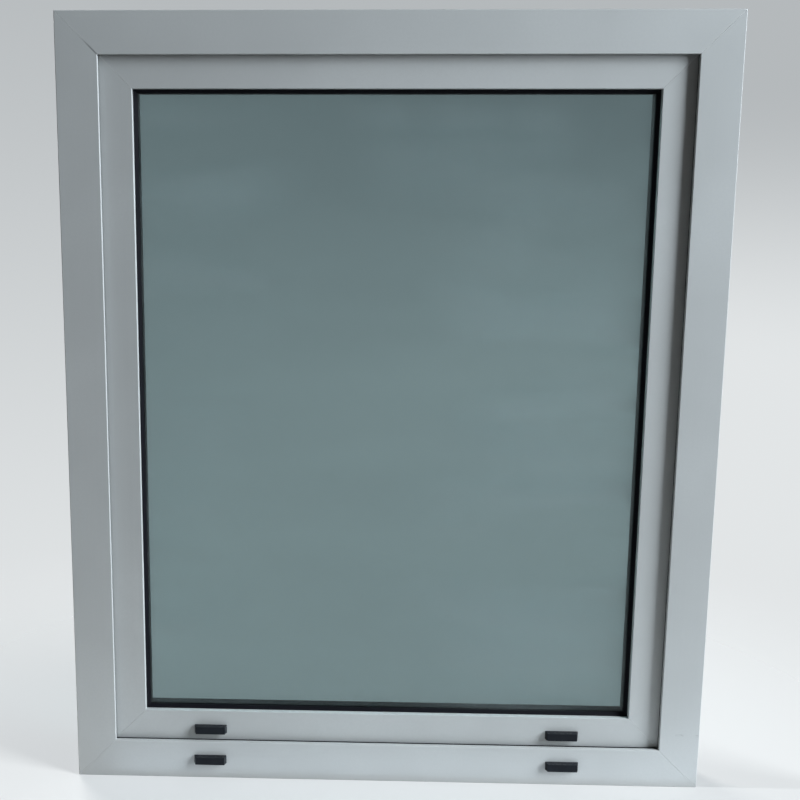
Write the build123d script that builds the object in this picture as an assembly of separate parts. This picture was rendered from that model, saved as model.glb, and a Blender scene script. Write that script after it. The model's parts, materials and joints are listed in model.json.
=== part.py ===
from build123d import *

import os

# Aluminium window: thermally broken frame, inward-opening sash, sealed double glazing.
#
# The window stands upright, seen from outside along +Y: X runs to the right, Z up, and +Y into the room.
# The origin is the middle of the bottom bearing face of the frame's outer shell.
#
# Every bar is an extrusion with mitred ends, drawn once as a section. In a section, "depth" counts from the
# frame's outside face into the room, and "height" counts from the frame's outer edge towards the glass.

# Overall size
WIDTH = 800.0
HEIGHT = 965.0

# Frame, across and through the wall
FRAME_FACE = 50.0
FRAME_DEPTH = 50.0
OUTER_SHELL_DEPTH = 18.0
FRAME_INNER_SHELL_DEPTH = 18.0
FRAME_INNER_HEIGHT = 33.0
SHELL_WALL = 1.8
MITRE_GAP = 0.2
EDGE_RADIUS = 0.8

# Lip of the frame that the sash closes against
LIP_REACH = 8.0
LIP_DEPTH = 4.5
LIP_OVERLAP = 5.0
HOOK_WALL = 1.6
GROOVE_LEG = 1.2

# Sash
SASH_FACE = 38.5
SASH_RECESS = 8.0
SASH_PROUD = 8.0
SASH_INNER_SHELL_DEPTH = 20.0
SASH_FLANGE_OVERLAP = 8.0
SASH_FLANGE_GAP = 3.0
GLASS_REBATE = 16.5
SIGHT_RETURN = 6.0

# Polyamide strips that join the shells
STRIP_WEB = 2.0
STRIP_FOOT = 3.4
STRIP_GRIP = 1.8
STRIP_BOSS = 6.4
STRIP_INSET = 4.2

# Hardware grooves on the two rebate faces
GROOVE_MOUTH = 9.0
GROOVE_ROOM = 13.0
GROOVE_ROOM_DEPTH = 3.2

# Sealed glass unit
PANE = 4.0
CAVITY = 12.0
GLASS_CLEARANCE = 5.0
SPACER_HEIGHT = 8.0
SPACER_SIGHT = 4.6

# Gaskets
GLAZING_GASKET = 3.0
GASKET_NOSE = 4.5
GASKET_TIP = 0.8
INNER_GASKET = 4.0
INNER_GASKET_NOSE = 2.0
INNER_GASKET_HEIGHT = 9.0
GROOVE_WIDTH = 5.4
STOP_GROOVE_WIDTH = 3.6
STOP_NOSE_DROP = 0.5
FLANGE_GROOVE_WIDTH = 4.2
GASKET_SHOULDER = 0.9

# Glazing beads
BEAD_HEIGHT = 13.0
BEAD_LAND = 2.5
BEAD_HEEL = 1.8
BEAD_WALL = 1.4
BEAD_FOOT = 2.4
BEAD_FOOT_LENGTH = 3.0
BEAD_FOOT_CLEARANCE = 0.1

# Drain slots and their caps
DRAIN_OFFSET = 227.0
FRAME_DRAIN_HEIGHT = 26.0
SASH_DRAIN_HEIGHT = 64.0
DRAIN_SLOT_LENGTH = 30.0
DRAIN_SLOT_WIDTH = 6.0
DRAIN_SLOT_CLEARANCE = 0.3
CAP_LENGTH = 42.0
CAP_HEIGHT = 11.4
CAP_DEPTH = 6.0
CAP_END_SLOPE = 2.0
CAP_SIDE_SLOPE = 0.8
CAP_CORNER = 0.8
CAP_WALL = 1.5
CAP_SPIGOT_REACH = 1.5
CAP_MOUTH_LENGTH = 26.0
CAP_MOUTH_DEPTH = 2.6

# Handle on the room side
HANDLE_BASE_WIDTH = 34.0
HANDLE_BASE_HEIGHT = 74.0
HANDLE_BASE_DEPTH = 11.0
HANDLE_BASE_CORNER = 14.5
HANDLE_BASE_CHAMFER = 2.0
HANDLE_COLLAR = 26.0
HANDLE_COLLAR_HEIGHT = 3.2
LEVER_WIDTH = 20.0
LEVER_THICKNESS = 11.0
LEVER_CHAMFER = 3.0
LEVER_STANDOFF = 40.0
LEVER_LENGTH = 118.0
LEVER_BEND = 16.0
LEVER_END_CHAMFER = 2.0

# Hinges on the room side
HINGE_HEIGHT = 100.0
HINGE_FROM_END = 150.0
HINGE_BARREL = 15.0
HINGE_PIN = 8.0
HINGE_PIN_CLEARANCE = 0.05
HINGE_PIN_HEAD = 1.5
HINGE_LEAF = 4.0
HINGE_CORNER = 6.0
HINGE_SASH_LEAF_HEIGHT = 31.0
HINGE_FRAME_LEAF_HEIGHT = 18.0
HINGE_BARREL_CLEARANCE = 1.0
HINGE_FLANGE_CLEARANCE = 3.0
HINGE_KNUCKLE_GAP = 0.4
HINGE_ARM = 6.5

# Heights of the main lines of the section, from the frame's outer edge
CHAMBER_TOP = FRAME_FACE - LIP_REACH
SASH_EDGE = FRAME_FACE - LIP_OVERLAP
SIGHT_LINE = FRAME_FACE + SASH_FACE
SASH_FLOOR = SIGHT_LINE - GLASS_REBATE
GLASS_EDGE = SASH_FLOOR + GLASS_CLEARANCE
FLANGE_EDGE = FRAME_INNER_HEIGHT - SASH_FLANGE_OVERLAP
BEAD_TOP = SASH_FLOOR + BEAD_HEIGHT

# Depths of the main planes of the section, from the frame's outside face
FRAME_INNER_FRONT = FRAME_DEPTH - FRAME_INNER_SHELL_DEPTH
SASH_FRONT = SASH_RECESS
SASH_OUTER_BACK = SASH_FRONT + OUTER_SHELL_DEPTH
SASH_BACK = FRAME_DEPTH + SASH_PROUD
SASH_INNER_FRONT = SASH_BACK - SASH_INNER_SHELL_DEPTH
FLANGE_FRONT = FRAME_DEPTH + SASH_FLANGE_GAP
HOOK_END = SASH_FRONT + SIGHT_RETURN
GLASS_FRONT = HOOK_END + GLAZING_GASKET
CAVITY_FRONT = GLASS_FRONT + PANE
CAVITY_BACK = CAVITY_FRONT + CAVITY
GLASS_BACK = CAVITY_BACK + PANE
BEAD_FRONT = GLASS_BACK + INNER_GASKET

# Where depth zero lies along Y, so that the origin is midway under the outer shell
FACE_Y = -OUTER_SHELL_DEPTH / 2

PARTS = {}


# Drawing in the section: every point is (depth, height)
def outline(*points):
    """A closed face from its corners, each given as depth and height."""
    return make_face(Polyline(*points, close=True))


def block(depth_from, depth_to, height_from, height_to):
    """A rectangle between two depths and two heights."""
    return outline(
        (depth_from, height_from), (depth_to, height_from), (depth_to, height_to), (depth_from, height_to)
    )


def rounded(section, corners, radius):
    """The section with the named corners rounded."""
    chosen = [
        vertex
        for vertex in section.vertices()
        for depth, height in corners
        if (Vector(vertex) - Vector(depth, height)).length < 1e-6
    ]
    return fillet(chosen, radius)


def dovetail(mouth, height, inward):
    """The foot of a strip: its mouth at a depth, running inward (+1) or outward (-1) and widening."""
    base = mouth + inward * STRIP_GRIP
    return outline(
        (mouth, height - STRIP_WEB / 2),
        (base, height - STRIP_FOOT / 2),
        (base, height + STRIP_FOOT / 2),
        (mouth, height + STRIP_WEB / 2),
    )


def with_strip_seat(shell, mouth, height, inward):
    """The shell with a boss on its wall and the dovetail groove of a strip cut into it."""
    boss_end = mouth + inward * (STRIP_GRIP + SHELL_WALL)
    low, high = min(mouth, boss_end), max(mouth, boss_end)
    boss = block(low, high, height - STRIP_BOSS / 2, height + STRIP_BOSS / 2)
    return shell + boss - dovetail(mouth, height, inward)


def hollow(depth_from, depth_to, height_from, height_to):
    """A rectangular tube with the shell's wall."""
    wall = SHELL_WALL
    chamber = block(depth_from + wall, depth_to - wall, height_from + wall, height_to - wall)
    return block(depth_from, depth_to, height_from, height_to) - chamber


def hardware_groove(depth_middle, mouth_height, inward):
    """The walls and the undercut room of a hardware groove, from its mouth upwards (+1) or downwards (-1)."""
    lip_end = mouth_height + inward * SHELL_WALL
    room_end = lip_end + inward * GROOVE_ROOM_DEPTH
    wall_end = room_end + inward * SHELL_WALL
    half_mouth, half_room = GROOVE_MOUTH / 2, GROOVE_ROOM / 2
    half_wall = half_room + SHELL_WALL
    walls = block(depth_middle - half_wall, depth_middle + half_wall, mouth_height, wall_end)
    mouth = block(depth_middle - half_mouth, depth_middle + half_mouth, mouth_height, lip_end)
    room = block(depth_middle - half_room, depth_middle + half_room, lip_end, room_end)
    return walls, mouth + room


# Sections of the frame
def frame_outer_section():
    """Outer shell: a tube, the lip that shows outside, and the groove of the stop gasket behind it."""
    shell = hollow(0, OUTER_SHELL_DEPTH, 0, CHAMBER_TOP)
    shell += block(0, SHELL_WALL, CHAMBER_TOP - SHELL_WALL, FRAME_FACE)
    shell += block(0, LIP_DEPTH, FRAME_FACE - HOOK_WALL, FRAME_FACE)
    leg_top = FRAME_FACE - HOOK_WALL - STOP_GROOVE_WIDTH
    shell += block(0, LIP_DEPTH, leg_top - GROOVE_LEG, leg_top)
    for height in frame_strip_heights():
        shell = with_strip_seat(shell, OUTER_SHELL_DEPTH, height, -1)
    return rounded(shell, [(0, 0), (0, FRAME_FACE)], EDGE_RADIUS)


def frame_inner_section():
    """Inner shell: a tube with a hardware groove on the rebate side."""
    shell = hollow(FRAME_INNER_FRONT, FRAME_DEPTH, 0, FRAME_INNER_HEIGHT)
    walls, groove = hardware_groove((FRAME_INNER_FRONT + FRAME_DEPTH) / 2, FRAME_INNER_HEIGHT, -1)
    shell = shell + walls - groove
    for height in frame_strip_heights():
        shell = with_strip_seat(shell, FRAME_INNER_FRONT, height, 1)
    return rounded(shell, [(FRAME_DEPTH, 0), (FRAME_DEPTH, FRAME_INNER_HEIGHT)], EDGE_RADIUS)


def frame_strip_heights():
    """Heights of the frame's two polyamide strips."""
    return STRIP_INSET, FRAME_INNER_HEIGHT - STRIP_INSET


def strip_section(depth_from, depth_to, height):
    """A polyamide strip: a flat web with a dovetail foot on each edge."""
    web = block(depth_from, depth_to, height - STRIP_WEB / 2, height + STRIP_WEB / 2)
    return web + dovetail(depth_from, height, -1) + dovetail(depth_to, height, 1)


# Sections of the sash
def sash_outer_section():
    """Outer shell: a tube, the lip over the glass edge, and the groove of the glazing gasket behind it."""
    shell = hollow(SASH_FRONT, SASH_OUTER_BACK, SASH_EDGE, SASH_FLOOR)
    shell += block(SASH_FRONT, SASH_FRONT + SHELL_WALL, SASH_FLOOR - SHELL_WALL, SIGHT_LINE)
    shell += block(SASH_FRONT, HOOK_END, SIGHT_LINE - HOOK_WALL, SIGHT_LINE)
    leg_top = SIGHT_LINE - HOOK_WALL - GROOVE_WIDTH
    shell += block(SASH_FRONT, HOOK_END, leg_top - GROOVE_LEG, leg_top)
    for height in sash_strip_heights():
        shell = with_strip_seat(shell, SASH_OUTER_BACK, height, -1)
    return rounded(shell, [(SASH_FRONT, SASH_EDGE), (SASH_FRONT, SIGHT_LINE)], EDGE_RADIUS)


def sash_inner_section():
    """Inner shell: a tube with a hardware groove, the flange that covers the frame, and the bead's slot."""
    shell = hollow(SASH_INNER_FRONT, SASH_BACK, SASH_EDGE, SASH_FLOOR)
    walls, groove = hardware_groove((SASH_INNER_FRONT + SASH_BACK) / 2, SASH_EDGE, 1)
    shell = shell + walls - groove
    shell += block(SASH_BACK - SHELL_WALL, SASH_BACK, FLANGE_EDGE, SASH_EDGE)
    shell += block(FLANGE_FRONT, SASH_BACK, FLANGE_EDGE, FLANGE_EDGE + HOOK_WALL)
    leg_foot = FLANGE_EDGE + HOOK_WALL + FLANGE_GROOVE_WIDTH
    shell += block(FLANGE_FRONT, SASH_BACK, leg_foot, leg_foot + GROOVE_LEG)
    for height in sash_strip_heights():
        shell = with_strip_seat(shell, SASH_INNER_FRONT, height, 1)
    half_slot = BEAD_FOOT / 2 + BEAD_FOOT_CLEARANCE
    foot = bead_foot_depth()
    shell -= block(foot - half_slot, foot + half_slot, SASH_FLOOR - SHELL_WALL, SASH_FLOOR)
    return rounded(shell, [(SASH_BACK, FLANGE_EDGE)], EDGE_RADIUS)


def sash_strip_heights():
    """Heights of the sash's two polyamide strips."""
    return SASH_EDGE + STRIP_INSET, SASH_FLOOR - STRIP_INSET


def bead_foot_depth():
    """Depth of the middle of the bead's clip foot."""
    return (BEAD_FRONT + SASH_BACK) / 2


def bead_section():
    """Bevelled hollow bead: a short land against the gasket, a slope to the room, a clip foot below."""
    shape = outline(
        (BEAD_FRONT, SASH_FLOOR),
        (BEAD_FRONT, BEAD_TOP),
        (BEAD_FRONT + BEAD_LAND, BEAD_TOP),
        (SASH_BACK, SASH_FLOOR + BEAD_HEEL),
        (SASH_BACK, SASH_FLOOR),
    )
    shape -= offset(shape, -BEAD_WALL)
    foot = bead_foot_depth()
    shape += block(foot - BEAD_FOOT / 2, foot + BEAD_FOOT / 2, SASH_FLOOR - BEAD_FOOT_LENGTH, SASH_FLOOR)
    return rounded(shape, [(BEAD_FRONT + BEAD_LAND, BEAD_TOP)], EDGE_RADIUS)


# Sections of the gaskets and the spacer
def outer_stop_gasket_section():
    """Rubber between the frame's lip and the outside face of the sash, almost up to the lip's edge."""
    top = FRAME_FACE - HOOK_WALL
    foot = top - STOP_GROOVE_WIDTH
    nose = FRAME_FACE - STOP_NOSE_DROP
    return outline(
        (SHELL_WALL, foot),
        (SHELL_WALL, top),
        (LIP_DEPTH, top),
        (LIP_DEPTH, nose),
        (SASH_FRONT, nose),
        (SASH_FRONT, foot + GASKET_SHOULDER),
        (LIP_DEPTH, foot),
    )


def inner_stop_gasket_section():
    """Rubber between the sash's flange and the room face of the frame."""
    foot = FLANGE_EDGE + HOOK_WALL
    top = foot + FLANGE_GROOVE_WIDTH
    back = SASH_BACK - SHELL_WALL
    return outline(
        (back, foot),
        (back, top),
        (FLANGE_FRONT, top),
        (FRAME_DEPTH, top - GASKET_SHOULDER),
        (FRAME_DEPTH, foot + GASKET_SHOULDER),
        (FLANGE_FRONT, foot),
    )


def outer_glazing_gasket_section():
    """Rubber between the sash's lip and the outer pane, with a sloping nose that shows outside."""
    top = SIGHT_LINE - HOOK_WALL
    foot = top - GROOVE_WIDTH
    return outline(
        (SASH_FRONT + SHELL_WALL, foot),
        (SASH_FRONT + SHELL_WALL, top),
        (HOOK_END, top),
        (HOOK_END, SIGHT_LINE + GASKET_TIP),
        (GLASS_FRONT - GASKET_TIP, SIGHT_LINE + GASKET_NOSE),
        (GLASS_FRONT, SIGHT_LINE + GASKET_NOSE),
        (GLASS_FRONT, foot - GROOVE_LEG),
        (HOOK_END, foot - GROOVE_LEG),
        (HOOK_END, foot),
    )


def inner_glazing_gasket_section():
    """Rubber wedge between the inner pane and the bead."""
    return outline(
        (GLASS_BACK, BEAD_TOP - INNER_GASKET_HEIGHT),
        (GLASS_BACK, BEAD_TOP + INNER_GASKET_NOSE),
        (GLASS_BACK + GASKET_TIP, BEAD_TOP + INNER_GASKET_NOSE),
        (BEAD_FRONT, BEAD_TOP),
        (BEAD_FRONT, BEAD_TOP - INNER_GASKET_HEIGHT),
    )


def spacer_section():
    """Black bar between the two panes, a little past the sash's edge."""
    top = SIGHT_LINE + SPACER_SIGHT
    return block(CAVITY_FRONT, CAVITY_BACK, top - SPACER_HEIGHT, top)


# Bars and rings
SIDES = ("bottom", "top", "left", "right")


def bar(section, side, gap):
    """A mitred bar of a section along one side of the window, cut back by half the gap at each mitre."""
    length = WIDTH if side in ("bottom", "top") else HEIGHT
    reach = section.bounding_box().max.Y
    half = length / 2 - gap / 2**0.5
    across = Plane((0, FACE_Y, 0), x_dir=(0, 1, 0), z_dir=(1, 0, 0))
    straight = extrude(across * section, length / 2, both=True)
    mitre = outline((-half, 0), (half, 0), (half - reach, reach), (reach - half, reach))
    envelope = extrude(Plane.XZ * mitre, WIDTH + HEIGHT, both=True)
    place = {
        "bottom": Pos(0, 0, 0),
        "top": Pos(0, 0, HEIGHT) * Rot(0, 180, 0),
        "left": Pos(-WIDTH / 2, 0, HEIGHT / 2) * Rot(0, 90, 0),
        "right": Pos(WIDTH / 2, 0, HEIGHT / 2) * Rot(0, -90, 0),
    }
    return place[side] * (straight & envelope)


def ring(section):
    """The section carried round all four sides as one piece."""
    pieces = [bar(section, side, 0) for side in SIDES]
    return pieces[0] + pieces[1:]


def add_bars(section, names):
    """One node for each side, in the order of SIDES."""
    for side, name in zip(SIDES, names):
        PARTS[name] = bar(section, side, MITRE_GAP)


def face_plane(depth, x, height):
    """A plane on an outside face, looking at it from outside, with its own x along X and y along Z."""
    return Plane((x, FACE_Y + depth, height), x_dir=(1, 0, 0), z_dir=(0, -1, 0))


def room_plane(depth, x, height):
    """A plane on a room-side face, with its normal into the room and its own y along Z."""
    return Plane((x, FACE_Y + depth, height), x_dir=(-1, 0, 0), z_dir=(0, 1, 0))


# Drains
DRAINS = {
    "drain_cap_frame_left": (-DRAIN_OFFSET, FRAME_DRAIN_HEIGHT, 0.0),
    "drain_cap_frame_right": (DRAIN_OFFSET, FRAME_DRAIN_HEIGHT, 0.0),
    "drain_cap_sash_left": (-DRAIN_OFFSET, SASH_DRAIN_HEIGHT, SASH_FRONT),
    "drain_cap_sash_right": (DRAIN_OFFSET, SASH_DRAIN_HEIGHT, SASH_FRONT),
}


def drain_slot(x, height, depth):
    """The cutter of the slot behind a cap, through the face wall alone."""
    return extrude(
        face_plane(depth, x, height) * SlotOverall(DRAIN_SLOT_LENGTH, DRAIN_SLOT_WIDTH), -SHELL_WALL
    )


def drain_cap(x, height, depth):
    """A hood with sloping sides, hollow behind, open along its underside, plugged into its slot."""
    face = face_plane(depth, x, height)
    base = face * RectangleRounded(CAP_LENGTH, CAP_HEIGHT, CAP_CORNER)
    front = face.offset(CAP_DEPTH) * RectangleRounded(
        CAP_LENGTH - 2 * CAP_END_SLOPE, CAP_HEIGHT - 2 * CAP_SIDE_SLOPE, CAP_CORNER
    )
    hood = loft([base, front])
    pocket_length = CAP_LENGTH - 2 * CAP_END_SLOPE - 2 * CAP_WALL
    pocket_height = CAP_HEIGHT - 2 * CAP_SIDE_SLOPE - 2 * CAP_WALL
    hood -= extrude(face * Rectangle(pocket_length, pocket_height), CAP_DEPTH - CAP_WALL)
    mouth = Pos(0, -CAP_HEIGHT / 4) * Rectangle(CAP_MOUTH_LENGTH, CAP_HEIGHT / 2)
    hood -= extrude(face * mouth, CAP_MOUTH_DEPTH)
    slack = 2 * DRAIN_SLOT_CLEARANCE
    plug = SlotOverall(DRAIN_SLOT_LENGTH - slack, DRAIN_SLOT_WIDTH - slack)
    tube = plug - offset(plug, -CAP_WALL / 2)
    pocket_depth = CAP_DEPTH - CAP_WALL
    spigot = extrude(face.offset(pocket_depth) * tube, -(pocket_depth + SHELL_WALL + CAP_SPIGOT_REACH))
    lower_half = Pos(0, -CAP_HEIGHT / 2) * Rectangle(CAP_LENGTH, CAP_HEIGHT)
    spigot -= extrude(face * lower_half, pocket_depth)
    return hood + spigot


# Handle
def handle_place():
    """Middle of the handle on the sash's room face: the right stile, halfway up."""
    middle = (FLANGE_EDGE + SASH_FLOOR) / 2
    return WIDTH / 2 - middle, HEIGHT / 2


def handle_base():
    """Rosette on the sash with a chamfered front edge and a round collar that the lever turns in."""
    plane = room_plane(SASH_BACK, *handle_place())
    plan = RectangleRounded(HANDLE_BASE_WIDTH, HANDLE_BASE_HEIGHT, HANDLE_BASE_CORNER)
    base = extrude(plane * plan, HANDLE_BASE_DEPTH)
    base = chamfer(base.faces().sort_by(Axis.Y)[-1].edges(), HANDLE_BASE_CHAMFER)
    return base + extrude(plane.offset(HANDLE_BASE_DEPTH) * Circle(HANDLE_COLLAR / 2), HANDLE_COLLAR_HEIGHT)


def handle_lever():
    """Lever: straight out of the collar, round a bend and down, with chamfered edges and tip."""
    x, middle = handle_place()
    neck = HANDLE_BASE_DEPTH + HANDLE_COLLAR_HEIGHT
    start = Vector(x, FACE_Y + SASH_BACK + neck, middle)
    corner = start + Vector(0, LEVER_STANDOFF - neck, 0)
    end = corner - Vector(0, 0, LEVER_LENGTH)
    path = FilletPolyline(start, corner, end, radius=LEVER_BEND)
    flat = Rectangle(LEVER_WIDTH, LEVER_THICKNESS)
    flat = chamfer(flat.vertices(), LEVER_CHAMFER)
    lever = sweep(Plane(start, x_dir=(1, 0, 0), z_dir=(0, 1, 0)) * flat, path=path)
    return chamfer(lever.faces().sort_by(Axis.Z)[0].edges(), LEVER_END_CHAMFER)


# Hinges
BARREL_HEIGHT = FLANGE_EDGE - HINGE_FLANGE_CLEARANCE
BARREL_DEPTH = SASH_BACK + HINGE_BARREL_CLEARANCE + HINGE_BARREL / 2


def hinge_frame_section():
    """Frame leaf: a plate on the frame's room face and an arm up to the barrel."""
    plate_low = BARREL_HEIGHT - HINGE_FRAME_LEAF_HEIGHT
    leaf = block(FRAME_DEPTH, FRAME_DEPTH + HINGE_LEAF, plate_low, BARREL_HEIGHT)
    leaf += block(FRAME_DEPTH, BARREL_DEPTH, BARREL_HEIGHT - HINGE_ARM, BARREL_HEIGHT)
    return leaf


def hinge_sash_section():
    """Sash leaf: a plate on the sash's flange that runs under the barrel."""
    arm_end = FLANGE_EDGE + HINGE_BARREL
    plate = block(SASH_BACK, SASH_BACK + HINGE_LEAF, FLANGE_EDGE, FLANGE_EDGE + HINGE_SASH_LEAF_HEIGHT)
    arm = block(SASH_BACK + HINGE_LEAF, BARREL_DEPTH, BARREL_HEIGHT, arm_end)
    return plate + arm


def hinge_leaf(section, low, high, free_end):
    """A leaf with its half of the barrel, bored for the pin, between two heights up the window.

    The free end of its plate, the first (0) or the last (-1) along X, has rounded corners.
    """
    barrel = Pos(BARREL_DEPTH, BARREL_HEIGHT) * Circle(HINGE_BARREL / 2)
    bore = Pos(BARREL_DEPTH, BARREL_HEIGHT) * Circle(HINGE_PIN / 2 + HINGE_PIN_CLEARANCE)
    plane = Plane((-WIDTH / 2, FACE_Y, high), x_dir=(0, 1, 0), z_dir=(0, 0, -1))
    leaf = extrude(plane * (section + barrel - bore), high - low)
    return fillet(leaf.edges().filter_by(Axis.Y).group_by(Axis.X)[free_end], HINGE_CORNER)


def hinge_pin(low, high):
    """Pin through both knuckles, with a flat head on each end."""
    def stage(radius, bottom, top):
        centre = (BARREL_HEIGHT - WIDTH / 2, FACE_Y + BARREL_DEPTH, bottom)
        return extrude(Plane(centre) * Circle(radius), top - bottom)

    pin = stage(HINGE_PIN / 2, low, high)
    pin += stage(HINGE_BARREL / 2 - EDGE_RADIUS, low - HINGE_PIN_HEAD, low)
    return pin + stage(HINGE_BARREL / 2 - EDGE_RADIUS, high, high + HINGE_PIN_HEAD)


def add_hinge(name, middle):
    """The two leaves and the pin of one hinge, centred at a height up the window."""
    low, high = middle - HINGE_HEIGHT / 2, middle + HINGE_HEIGHT / 2
    half_gap = HINGE_KNUCKLE_GAP / 2
    PARTS[f"{name}_frame_leaf"] = hinge_leaf(hinge_frame_section(), low, middle - half_gap, 0)
    PARTS[f"{name}_sash_leaf"] = hinge_leaf(hinge_sash_section(), middle + half_gap, high, -1)
    PARTS[f"{name}_pin"] = hinge_pin(low, high)


# The assembly
def strips(depth_from, depth_to, heights):
    """All the polyamide strips of one frame: two on each side, apart at the mitres."""
    sections = [strip_section(depth_from, depth_to, height) for height in heights]
    return Compound([bar(section, side, MITRE_GAP) for side in SIDES for section in sections])


def pane(depth_from):
    """One sheet of glass."""
    size = WIDTH - 2 * GLASS_EDGE, PANE, HEIGHT - 2 * GLASS_EDGE
    return Pos(0, FACE_Y + depth_from + PANE / 2, HEIGHT / 2) * Box(*size)


def build():
    """Fills PARTS with every piece of the window."""
    add_bars(
        frame_outer_section(),
        ("frame_sill_outer", "frame_head_outer", "frame_left_jamb_outer", "frame_right_jamb_outer"),
    )
    add_bars(
        frame_inner_section(),
        ("frame_sill_inner", "frame_head_inner", "frame_left_jamb_inner", "frame_right_jamb_inner"),
    )
    PARTS["frame_thermal_break"] = strips(OUTER_SHELL_DEPTH, FRAME_INNER_FRONT, frame_strip_heights())
    add_bars(
        sash_outer_section(),
        ("sash_bottom_rail_outer", "sash_top_rail_outer", "sash_left_stile_outer", "sash_right_stile_outer"),
    )
    add_bars(
        sash_inner_section(),
        ("sash_bottom_rail_inner", "sash_top_rail_inner", "sash_left_stile_inner", "sash_right_stile_inner"),
    )
    PARTS["sash_thermal_break"] = strips(SASH_OUTER_BACK, SASH_INNER_FRONT, sash_strip_heights())
    add_bars(
        bead_section(),
        ("glazing_bead_bottom", "glazing_bead_top", "glazing_bead_left", "glazing_bead_right"),
    )
    PARTS["outer_stop_gasket"] = ring(outer_stop_gasket_section())
    PARTS["inner_stop_gasket"] = ring(inner_stop_gasket_section())
    PARTS["outer_glazing_gasket"] = ring(outer_glazing_gasket_section())
    PARTS["inner_glazing_gasket"] = ring(inner_glazing_gasket_section())
    PARTS["glass_spacer"] = ring(spacer_section())
    PARTS["outer_pane"] = pane(GLASS_FRONT)
    PARTS["inner_pane"] = pane(CAVITY_BACK)
    for name, place in DRAINS.items():
        carrier = "frame_sill_outer" if "frame" in name else "sash_bottom_rail_outer"
        PARTS[carrier] -= drain_slot(*place)
        PARTS[name] = drain_cap(*place)
    PARTS["handle_base"] = handle_base()
    PARTS["handle_lever"] = handle_lever()
    add_hinge("hinge_lower", HINGE_FROM_END)
    add_hinge("hinge_upper", HEIGHT - HINGE_FROM_END)


build()
os.makedirs("parts", exist_ok=True)
for node, shape in PARTS.items():
    export_step(shape, f"parts/{node}.step")
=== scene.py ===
"""Studio picture of an aluminium window: the finishes, the fine pieces, the light and the camera.

Everything is in metres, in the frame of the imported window: X to the right seen from outside, Z up and +Y into
the room. The frame stands on the floor at height zero.
"""

from __future__ import annotations

import json
import logging
import math
from abc import ABC, abstractmethod
from collections.abc import Iterable
from dataclasses import dataclass
from enum import Enum
from typing import ClassVar

import bmesh
import bpy
from mathutils import Matrix, Vector

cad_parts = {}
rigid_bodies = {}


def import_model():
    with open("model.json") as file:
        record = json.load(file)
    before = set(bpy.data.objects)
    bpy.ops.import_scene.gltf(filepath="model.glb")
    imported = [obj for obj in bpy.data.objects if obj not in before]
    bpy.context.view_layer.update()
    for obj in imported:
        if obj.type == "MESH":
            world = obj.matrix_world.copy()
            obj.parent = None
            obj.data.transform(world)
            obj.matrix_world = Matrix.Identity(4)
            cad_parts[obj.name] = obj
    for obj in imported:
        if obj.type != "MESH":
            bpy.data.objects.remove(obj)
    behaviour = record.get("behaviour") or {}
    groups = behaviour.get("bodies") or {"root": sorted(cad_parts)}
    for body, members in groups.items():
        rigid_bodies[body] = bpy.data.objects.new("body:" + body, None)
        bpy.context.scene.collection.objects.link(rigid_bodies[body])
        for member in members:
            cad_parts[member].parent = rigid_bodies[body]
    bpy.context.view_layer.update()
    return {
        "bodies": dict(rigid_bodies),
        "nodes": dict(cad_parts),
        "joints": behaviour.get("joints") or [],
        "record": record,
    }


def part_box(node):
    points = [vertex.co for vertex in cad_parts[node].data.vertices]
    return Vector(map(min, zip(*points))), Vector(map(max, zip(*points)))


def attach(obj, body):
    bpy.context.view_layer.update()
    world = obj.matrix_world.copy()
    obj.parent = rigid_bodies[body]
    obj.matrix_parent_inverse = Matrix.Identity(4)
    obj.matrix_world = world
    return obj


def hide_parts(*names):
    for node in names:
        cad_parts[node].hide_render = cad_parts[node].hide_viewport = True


Triple = tuple[float, float, float]
Colour = Triple
Point = Triple
Span = tuple[float, float]
Socket = bpy.types.NodeSocket
Value = float | tuple | Socket

BODY = "root"
PICTURE_SIDE = 800.0
MM = 0.001
NEAR = 0.01 * MM
MERGE = 0.001 * MM
RISING: Span = (0.0, 1.0)
FALLING: Span = (1.0, 0.0)
ALIGNED = 0.999
SOFT_EDGE_ANGLE = math.radians(35.0)
QUARTER_TURN = math.radians(90.0)
INTO_ROOM = Matrix.Rotation(-QUARTER_TURN, 4, "X")

log = logging.getLogger("window")


class Run(Enum):
    """The way a bar was extruded, which its die lines follow."""

    ACROSS = "x"
    UPRIGHT = "z"

    def stretch(self, along: float, across: float) -> Triple:
        """Texture scales that draw a noise out along the bar."""
        return (along, across, across) if self is Run.ACROSS else (across, across, along)


@dataclass(frozen=True)
class Pattern:
    """A noise over a surface, and the mark that it makes there.

    The scale is in features per metre, the seed sets one noise apart from another, the detail counts its
    finer octaves, and the stretch is a further scale along each axis. The mark comes up where the noise goes
    from the first value of span to the second, and its share says how much it is before and after.
    """

    scale: float
    seed: float
    detail: float = 2.0
    stretch: Triple = (1.0, 1.0, 1.0)
    span: Span = (0.3, 0.7)
    share: Span = RISING


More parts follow.
